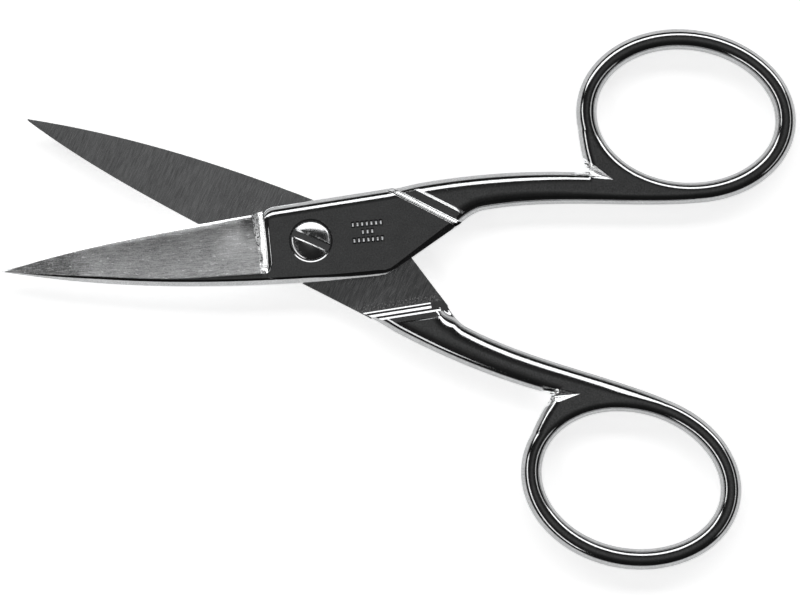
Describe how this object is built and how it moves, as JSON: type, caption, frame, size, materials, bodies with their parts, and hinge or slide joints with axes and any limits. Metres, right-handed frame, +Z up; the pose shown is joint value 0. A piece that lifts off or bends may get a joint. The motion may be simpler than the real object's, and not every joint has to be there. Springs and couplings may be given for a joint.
{
  "type": "embroidery scissors",
  "caption": "Small forged scissors for snipping thread, with pointed blades, a slotted pivot screw and an oval finger bow on each half.",
  "frame": {"origin": "foot of the pivot axis, on the outer face of the rear half's block, which the snips lie on", "axes": "+X from the pivot towards the finger bows, midway between the halves; +Y towards the front half's bow; +Z up along the pivot, towards the screw's head"},
  "size_m": [0.0948, 0.068, 0.0047],
  "materials": {
    "plated_steel": "polished plating, with ground blades",
    "screw_steel": "polished"
  },
  "bodies": {
    "rear_half": {"rear_half": "plated_steel"},
    "front_half": {"front_half": "plated_steel"},
    "pivot_screw": {"pivot_screw": "screw_steel"}
  },
  "joints": [
    {"name": "blade_pivot", "type": "hinge", "parent": "rear_half", "child": "front_half", "pos_m": [0, 0, 0.002], "axis": [0, 0, 1], "range_deg": [-29, 90]},
    {"name": "screw_turn", "type": "hinge", "parent": "rear_half", "child": "pivot_screw", "pos_m": [0, 0, 0.002], "axis": [0, 0, 1], "range_deg": [-45, 45]}
  ]
}
